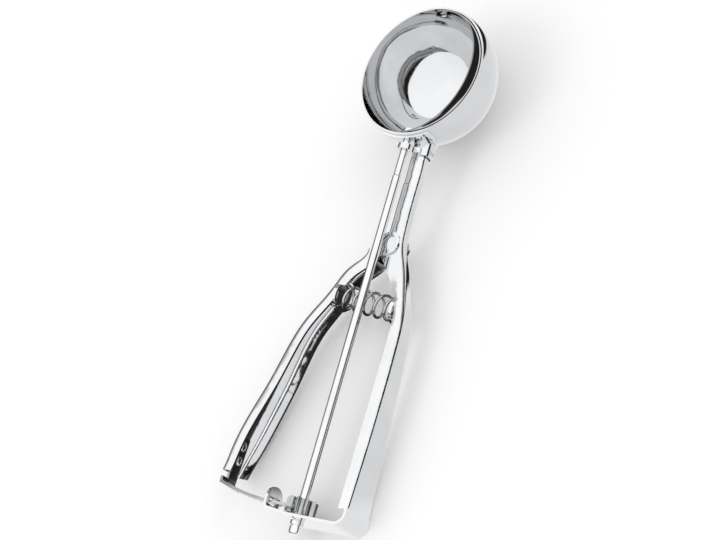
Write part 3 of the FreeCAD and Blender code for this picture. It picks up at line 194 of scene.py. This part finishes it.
# Materials
def new_material(name, colour, metal, rough):
    material = bpy.data.materials.new(name)
    material.use_nodes = True
    shader = material.node_tree.nodes["Principled BSDF"]
    shader.inputs["Base Color"].default_value = (*colour, 1.0)
    shader.inputs["Metallic"].default_value = metal
    shader.inputs["Roughness"].default_value = rough
    return material, material.node_tree, shader


def noise(tree, scale, detail, stretch=(1, 1, 1)):
    """Noise on the piece's own coordinates, stretched along the way it was worked."""
    place = tree.nodes.new("ShaderNodeTexCoord")
    mapping = tree.nodes.new("ShaderNodeMapping")
    mapping.inputs["Scale"].default_value = stretch
    grain = tree.nodes.new("ShaderNodeTexNoise")
    grain.inputs["Scale"].default_value = scale
    grain.inputs["Detail"].default_value = detail
    tree.links.new(place.outputs["Object"], mapping.inputs["Vector"])
    tree.links.new(mapping.outputs["Vector"], grain.inputs["Vector"])
    return grain.outputs["Fac"]


def bump(tree, shader, height, strength, distance):
    raised = tree.nodes.new("ShaderNodeBump")
    raised.inputs["Strength"].default_value = strength
    raised.inputs["Distance"].default_value = distance
    tree.links.new(height, raised.inputs["Height"])
    tree.links.new(raised.outputs["Normal"], shader.inputs["Normal"])


CLOUD_SCALE, CLOUD_DETAIL = 45.0, 3.0
MARK_DETAIL = 6.0
WAVE_SCALE, WAVE_DETAIL, WAVE_STRENGTH = 55.0, 1.5, 0.35


def polished_steel(name, bright, dull, gloss, grain, stretch, wave):
    """Bright steel: faint cloudy tone, fine rubbing marks in the gloss, slight waviness."""
    material, tree, shader = new_material(name, bright, 1.0, gloss[0])
    cloud = spread(tree, noise(tree, CLOUD_SCALE, CLOUD_DETAIL), 0.35, 0.7, 0.0, 1.0)
    tree.links.new(mix_colours(tree, cloud, (*bright, 1.0), (*dull, 1.0)), shader.inputs["Base Color"])
    marks = noise(tree, grain, MARK_DETAIL, stretch)
    tree.links.new(spread(tree, marks, 0.35, 0.75, *gloss), shader.inputs["Roughness"])
    bump(tree, shader, noise(tree, WAVE_SCALE, WAVE_DETAIL), WAVE_STRENGTH, wave)
    return material


bowl_finish = polished_steel(
    "bowl_polish", (0.72, 0.725, 0.735), (0.64, 0.645, 0.655), (0.03, 0.08), 260.0, (1, 6, 1), 0.0007,
)
handle_finish = polished_steel(
    "handle_polish", (0.76, 0.765, 0.775), (0.70, 0.705, 0.715), (0.05, 0.11), 240.0, (6, 1, 6), 0.0003,
)
rod_finish = polished_steel(
    "rod_polish", (0.78, 0.785, 0.79), (0.72, 0.725, 0.73), (0.05, 0.10), 600.0, (1, 0.08, 1), 0.00005,
)
rivet_finish = polished_steel(
    "rivet_polish", (0.74, 0.745, 0.75), (0.64, 0.645, 0.65), (0.05, 0.12), 500.0, (1, 1, 1), 0.00008,
)
gear_finish = polished_steel(
    "gear_steel", (0.50, 0.505, 0.51), (0.24, 0.245, 0.25), (0.10, 0.24), 700.0, (1, 1, 5), 0.0001,
)
spring_finish = polished_steel(
    "spring_wire", (0.60, 0.605, 0.61), (0.46, 0.465, 0.47), (0.07, 0.16), 900.0, (5, 1, 1), 0.00005,
)

FINISH = {
    "bowl_steel": bowl_finish,
    "handle_steel": handle_finish,
    "rod_steel": rod_finish,
    "gear_steel": gear_finish,
    "spring_steel": spring_finish,
    "rivet_steel": rivet_finish,
}
node_slot = {entry["node"]: entry["material_slot"] for entry in frame["record"]["subparts"]}
node_body = {
    node: body
    for body, nodes in frame["record"]["behaviour"]["bodies"].items()
    for node in nodes
}


# Pieces with the shape of their node, smooth shaded
def smooth_copy(node):
    """Copy of a node with its triangles joined up and its curves shaded smooth."""
    mesh = frame["nodes"][node].data.copy()
    mesh.name = node + "_skin"
    form = bmesh.new()
    form.from_mesh(mesh)
    bmesh.ops.remove_doubles(form, verts=form.verts, dist=MERGE_DISTANCE)
    bmesh.ops.dissolve_degenerate(form, edges=form.edges, dist=SLIVER_DISTANCE)
    for face in form.faces:
        face.smooth = True
    for edge in form.edges:
        edge.smooth = len(edge.link_faces) == 2 and edge.calc_face_angle(0.0) < SMOOTH_ANGLE
    form.to_mesh(mesh)
    form.free()
    mesh.materials.clear()
    mesh.materials.append(FINISH[node_slot[node]])
    stand_in(node, mesh)


def stand_in(node, mesh, rides=True):
    """Piece that stands for a node and rides on its body, unless it is told not to ride."""
    piece = bpy.data.objects.new(node + "_skin", mesh)
    bpy.context.scene.collection.objects.link(piece)
    if rides:
        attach(piece, node_body[node])
    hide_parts(node)
    return piece


GROWN = ("return_spring", "rack_rivets", "neck_rivets")
for node in frame["nodes"]:
    if node not in GROWN:
        smooth_copy(node)


# Pieces that repeat a form or follow a path, grown by Geometry Nodes
def new_group(name, inputs):
    """Group with one geometry output and named inputs: the group, its ends and its sockets."""
    group = bpy.data.node_groups.new(name, "GeometryNodeTree")
    group.interface.new_socket("Geometry", in_out="OUTPUT", socket_type="NodeSocketGeometry")
    names = {
        label: group.interface.new_socket(label, in_out="INPUT", socket_type=kind).identifier
        for label, kind in inputs
    }
    return group, group.nodes.new("NodeGroupInput").outputs, group.nodes.new("NodeGroupOutput"), names


def finish_group(group, end, geometry, finish):
    """Smooth shading, then real meshes with the piece's own finish."""
    smooth = group.nodes.new("GeometryNodeSetShadeSmooth")
    real = group.nodes.new("GeometryNodeRealizeInstances")
    painted = group.nodes.new("GeometryNodeSetMaterial")
    painted.inputs["Material"].default_value = finish
    group.links.new(geometry, smooth.inputs["Geometry"])
    group.links.new(smooth.outputs["Geometry"], real.inputs["Geometry"])
    group.links.new(real.outputs["Geometry"], painted.inputs["Geometry"])
    group.links.new(painted.outputs["Geometry"], end.inputs["Geometry"])


def grow(node, group, names, values, place, rides=True):
    """Mesh of a group with these inputs, laid in place as the stand-in of a node."""
    seed = bpy.data.objects.new(node + "_seed", bpy.data.meshes.new(node + "_seed"))
    bpy.context.scene.collection.objects.link(seed)
    modifier = seed.modifiers.new("grow", "NODES")
    modifier.node_group = group
    for label, value in values.items():
        modifier[names[label]] = value
    bpy.context.view_layer.update()
    mesh = bpy.data.meshes.new_from_object(seed.evaluated_get(bpy.context.evaluated_depsgraph_get()))
    mesh.name = node + "_skin"
    seed.modifiers.remove(modifier)
    bpy.data.objects.remove(seed)
    mesh.transform(place)
    return stand_in(node, mesh, rides)


def coil_group():
    """Round wire along a coil that rises on Z."""
    group, begin, end, names = new_group("coil", (
        ("Turns", "NodeSocketFloat"), ("Coil Radius", "NodeSocketFloat"), ("Length", "NodeSocketFloat"),
        ("Wire Radius", "NodeSocketFloat"),
    ))
    coil = group.nodes.new("GeometryNodeCurveSpiral")
    coil.inputs["Resolution"].default_value = COIL_STEPS
    group.links.new(begin["Turns"], coil.inputs["Rotations"])
    group.links.new(begin["Coil Radius"], coil.inputs["Start Radius"])
    group.links.new(begin["Coil Radius"], coil.inputs["End Radius"])
    group.links.new(begin["Length"], coil.inputs["Height"])
    wire = group.nodes.new("GeometryNodeCurvePrimitiveCircle")
    wire.inputs["Resolution"].default_value = WIRE_SIDES
    group.links.new(begin["Wire Radius"], wire.inputs["Radius"])
    swept = group.nodes.new("GeometryNodeCurveToMesh")
    swept.inputs["Fill Caps"].default_value = True
    group.links.new(coil.outputs["Curve"], swept.inputs["Curve"])
    group.links.new(wire.outputs["Curve"], swept.inputs["Profile Curve"])
    finish_group(group, end, swept.outputs["Mesh"], spring_finish)
    return group, names


coil_way = (COIL_END - COIL_BEGIN).normalized()
coil_inset = CUP_WALL + WIRE_RADIUS + COIL_GAP
coil_place = coil_way.to_track_quat("Z", "Y").to_matrix().to_4x4()
coil_place.translation = COIL_BEGIN + coil_way * coil_inset
spring = grow("return_spring", *coil_group(), {
    "Turns": COIL_TURNS, "Coil Radius": COIL_RADIUS, "Wire Radius": WIRE_RADIUS,
    "Length": (COIL_END - COIL_BEGIN).length - 2 * coil_inset,
}, coil_place, rides=False)
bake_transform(spring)


def domed(group, head, rise):
    """Spherical cap on the XY plane: a flat-bottomed cone drawn onto its ball."""
    cone = group.nodes.new("GeometryNodeMeshCone")
    cone.inputs["Vertices"].default_value = HEAD_SIDES
    cone.inputs["Side Segments"].default_value = HEAD_RINGS
    cone.inputs["Radius Top"].default_value = 0.0
    group.links.new(head, cone.inputs["Radius Bottom"])
    group.links.new(rise, cone.inputs["Depth"])
    place = group.nodes.new("GeometryNodeInputPosition").outputs["Position"]
    flat = vector_sum(group, "MULTIPLY", place, (1, 1, 0))
    out = vector_sum(group, "LENGTH", flat, result="Value")
    squares = sum_up(group, "ADD", sum_up(group, "POWER", head, 2.0), sum_up(group, "POWER", rise, 2.0))
    ball = sum_up(group, "DIVIDE", squares, sum_up(group, "MULTIPLY", rise, 2.0))
    inside = sum_up(group, "SUBTRACT", sum_up(group, "POWER", ball, 2.0), sum_up(group, "POWER", out, 2.0))
    level = sum_up(group, "SUBTRACT", sum_up(group, "SQRT", inside, 0.0), sum_up(group, "SUBTRACT", ball, rise))
    x, y, _ = split(group, place)
    moved = group.nodes.new("GeometryNodeSetPosition")
    group.links.new(cone.outputs["Mesh"], moved.inputs["Geometry"])
    group.links.new(combine(group, X=x, Y=y, Z=level), moved.inputs["Position"])
    return moved.outputs["Geometry"]


def rivet_group():
    """Row of headed rivets on Z, from the origin along Spacing."""
    group, begin, end, names = new_group("headed_rivets", (
        ("Count", "NodeSocketInt"), ("Spacing", "NodeSocketVector"), ("Grip", "NodeSocketFloat"),
        ("Shank Radius", "NodeSocketFloat"), ("Head Radius", "NodeSocketFloat"),
        ("Front Head", "NodeSocketFloat"), ("Back Head", "NodeSocketFloat"),
    ))
    shank = group.nodes.new("GeometryNodeMeshCylinder")
    shank.inputs["Vertices"].default_value = SHANK_SIDES
    group.links.new(begin["Shank Radius"], shank.inputs["Radius"])
    group.links.new(begin["Grip"], shank.inputs["Depth"])
    half = sum_up(group, "MULTIPLY", begin["Grip"], 0.5)
    joined = group.nodes.new("GeometryNodeJoinGeometry")
    group.links.new(shank.outputs["Mesh"], joined.inputs["Geometry"])
    for height, turn, side in (("Front Head", 0.0, 1.0), ("Back Head", math.pi, -1.0)):
        seated = group.nodes.new("GeometryNodeTransform")
        seated.inputs["Rotation"].default_value = (turn, 0, 0)
        shift = combine(group, Z=sum_up(group, "MULTIPLY", half, side))
        group.links.new(shift, seated.inputs["Translation"])
        group.links.new(domed(group, begin["Head Radius"], begin[height]), seated.inputs["Geometry"])
        group.links.new(seated.outputs["Geometry"], joined.inputs["Geometry"])
    row = group.nodes.new("GeometryNodeMeshLine")
    row.mode = "OFFSET"
    group.links.new(begin["Count"], row.inputs["Count"])
    group.links.new(begin["Spacing"], row.inputs["Offset"])
    placed = group.nodes.new("GeometryNodeInstanceOnPoints")
    group.links.new(row.outputs["Mesh"], placed.inputs["Points"])
    group.links.new(joined.outputs["Geometry"], placed.inputs["Instance"])
    finish_group(group, end, placed.outputs["Instances"], rivet_finish)
    return group, names


rivet_nodes, rivet_names = rivet_group()


def rivet_pair(node, way, spots, shoulders, shank, head, front, back):
    """A node's two rivets: their way, their spots and where their shoulders lie along the way."""
    low, high = shoulders
    turn = Vector(way).to_track_quat("Z", "Y").to_matrix().to_4x4()
    spacing = turn.inverted() @ (Vector(spots[1]) - Vector(spots[0]))
    turn.translation = Vector(spots[0]) + Vector(way).normalized() * (low + high) / 2
    grow(node, rivet_nodes, rivet_names, {
        "Count": len(spots), "Spacing": tuple(spacing), "Grip": high - low, "Shank Radius": shank,
        "Head Radius": head, "Front Head": front, "Back Head": back,
    }, turn)


rivet_pair(
    "rack_rivets", way=(0.9986, -0.0530, -0.0053),
    spots=((-0.009255, -0.175556, 0.011803), (-0.008930, -0.169497, 0.012410)),
    shoulders=(-0.031838, -0.028868), shank=1.1 * MM, head=1.98 * MM, front=0.7 * MM, back=0.49 * MM,
)
rivet_pair(
    "neck_rivets", way=(1, 0, 0), spots=((0, -0.032192, 0.018282), (0, -0.032381, 0.020172)),
    shoulders=(0.005700, 0.008520), shank=0.5 * MM, head=0.75 * MM, front=0.5 * MM, back=0.3 * MM,
)

# Floor
bpy.ops.mesh.primitive_plane_add(size=6.0, location=(0.0, 0.0, 0.0))
floor = bpy.context.object
floor.name = "floor"
floor_material, floor_tree, floor_shader = new_material("pale_floor", (0.93, 0.93, 0.93), 0.0, 0.6)
floor_shader.inputs["Specular IOR Level"].default_value = 0.1


def painted_floor_reflection(tree, shader):
    """Painted reflection seen only by metal: the floor glows as a pale sheet, with painted shade under the
    handles and painted dark beyond its edge.
    """
    place = tree.nodes.new("ShaderNodeTexCoord").outputs["Object"]
    x, y, _ = split(tree, place)
    squares = []
    for along, centre, half in zip((x, y), PAINTED_SHEET_CENTRE, PAINTED_SHEET_HALF):
        share = sum_up(tree, "DIVIDE", sum_up(tree, "SUBTRACT", along, centre), half)
        squares.append(sum_up(tree, "POWER", share, 2.0))
    oval = spread(tree, sum_up(tree, "ADD", *squares), 0.0, 2.0, 0.0, 1.0)
    # Painted shade under the handles, as metal sees it: a dark band across them, over a span down the tool
    across = spread(tree, x, -PAINTED_SHADE_REACH, PAINTED_SHADE_REACH, 0.0, 1.0)
    painted_shade_span = sum_up(
        tree, "MULTIPLY",
        spread(tree, y, *PAINTED_SHADE_BACK_EDGE, 0.0, 1.0), spread(tree, y, *PAINTED_SHADE_FRONT_EDGE, 0.0, 1.0),
    )
    painted_sheet = mix_colours(
        tree, painted_shade_span, grey_tones(tree, oval, PAINTED_SHEET_TONES), grey_tones(tree, across, PAINTED_SHADE_UNDER_HANDLES), "MULTIPLY",
    )
    # A painted light pool round the bowl, painted dark beyond its edge
    from_bowl = vector_sum(tree, "SUBTRACT", place, (0.0, PAINTED_POOL_CENTRE_Y, 0.0))
    share = vector_sum(tree, "DIVIDE", from_bowl, (*PAINTED_POOL_HALF, PAINTED_POOL_IGNORES_HEIGHT))
    sides = vector_sum(tree, "ABSOLUTE", share)
    pool_out = vector_sum(tree, "DOT_PRODUCT", vector_sum(tree, "MULTIPLY", sides, sides), sides, "Value")
    painted_pool = spread(tree, pool_out, *PAINTED_POOL_EDGE, PAINTED_POOL_LIGHT, PAINTED_POOL_DARK)
    # The floor glows for glossy rays only, so metal shows this painted reflection and not the lit floor
    painted_glow = tree.nodes.new("ShaderNodeEmission")
    painted_reflection = mix_colours(tree, spread(tree, y, *PAINTED_POOL_FROM_Y, 0.0, 1.0), painted_sheet, painted_pool)
    tree.links.new(painted_reflection, painted_glow.inputs["Color"])
    rays = tree.nodes.new("ShaderNodeLightPath")
    choose(
        tree, rays.outputs["Is Glossy Ray"], shader.outputs["BSDF"], painted_glow.outputs["Emission"],
        tree.nodes["Material Output"].inputs["Surface"],
    )


painted_floor_reflection(floor_tree, floor_shader)
floor.data.materials.append(floor_material)


def build_world():
    """Plain light for everything but metal, which sees painted reflection tones instead."""
    world = bpy.data.worlds.new("studio")
    bpy.context.scene.world = world
    world.use_nodes = True
    tree = world.node_tree
    tree.nodes.clear()
    out = tree.nodes.new("ShaderNodeOutputWorld")
    way = tree.nodes.new("ShaderNodeTexCoord").outputs["Generated"]
    ripple = tree.nodes.new("ShaderNodeTexNoise")
    ripple.inputs["Scale"].default_value = RIPPLE_SCALE
    ripple.inputs["Detail"].default_value = RIPPLE_DETAIL
    tree.links.new(way, ripple.inputs["Vector"])
    facing = sum_up(
        tree, "ADD", vector_sum(tree, "DOT_PRODUCT", way, PAINTED_HIGHLIGHT_WAY, "Value"),
        spread(tree, ripple.outputs["Fac"], 0.0, 1.0, -RIPPLE_REACH, RIPPLE_REACH),
    )
    painted_tones = grey_tones(tree, spread(tree, facing, -1.0, 1.0, 0.0, 1.0), PAINTED_TENT_TONES)
    up = split(tree, way)[2]
    painted_foot = grey_tones(tree, spread(tree, up, -1.0, 1.0, 0.0, 1.0), PAINTED_DARK_FOOT_TONES)
    # Painted reflection tones, seen by glossy rays only: a bright opening, streaky greys and a painted dark foot
    painted_tent = tree.nodes.new("ShaderNodeBackground")
    tree.links.new(mix_colours(tree, 1.0, painted_tones, painted_foot, "MULTIPLY"), painted_tent.inputs["Color"])
    painted_tent.inputs["Strength"].default_value = PAINTED_TENT_STRENGTH
    plain = tree.nodes.new("ShaderNodeBackground")
    plain.inputs["Color"].default_value = (1, 1, 1, 1)
    plain.inputs["Strength"].default_value = PLAIN_STRENGTH
    # Metal sees the painted tones; everything else sees plain white light
    rays = tree.nodes.new("ShaderNodeLightPath")
    choose(
        tree, rays.outputs["Is Glossy Ray"], plain.outputs["Background"], painted_tent.outputs["Background"],
        out.inputs["Surface"],
    )


build_world()


def soft_lamp(name, place, power):
    """Round lamp, aimed at the middle of the tool, that metal doesn't show."""
    lamp = bpy.data.lights.new(name, "AREA")
    lamp.shape = "DISK"
    lamp.size = LAMP_SIZE
    lamp.energy = power
    holder = bpy.data.objects.new(name, lamp)
    way = LAMP_AIM - Vector(place)
    holder.location = place
    holder.rotation_euler = way.to_track_quat("-Z", "Y").to_euler()
    holder.visible_glossy = False
    bpy.context.scene.collection.objects.link(holder)


LAMP_SIZE = 0.9
LAMP_AIM = Vector((0, -0.08, 0))
soft_lamp("key_light", (-0.5, -0.9, 1.5), 3.2)
soft_lamp("fill_light", (0.9, 0.8, 1.3), 1.6)

# Camera: right, up and back of the photo's view
lens_camera = bpy.data.cameras.new("photo_camera")
lens_camera.sensor_fit = "HORIZONTAL"
lens_camera.sensor_width = SENSOR_WIDTH
lens_camera.lens = FOCAL_PIXELS / PICTURE_WIDTH * SENSOR_WIDTH
lens_camera.clip_start = 0.01
camera = bpy.data.objects.new("photo_camera", lens_camera)
camera_turn = Matrix((
    (0.804675, 0.316277, -0.502461),
    (-0.030316, 0.867083, 0.497242),
    (0.592941, -0.384886, 0.707307),
)).transposed().to_4x4()
camera_turn.translation = Vector((0.597849, -0.480940, 0.741325))
camera.matrix_world = camera_turn
bpy.context.scene.collection.objects.link(camera)
bpy.context.scene.camera = camera
bpy.context.scene.view_settings.view_transform = "Standard"
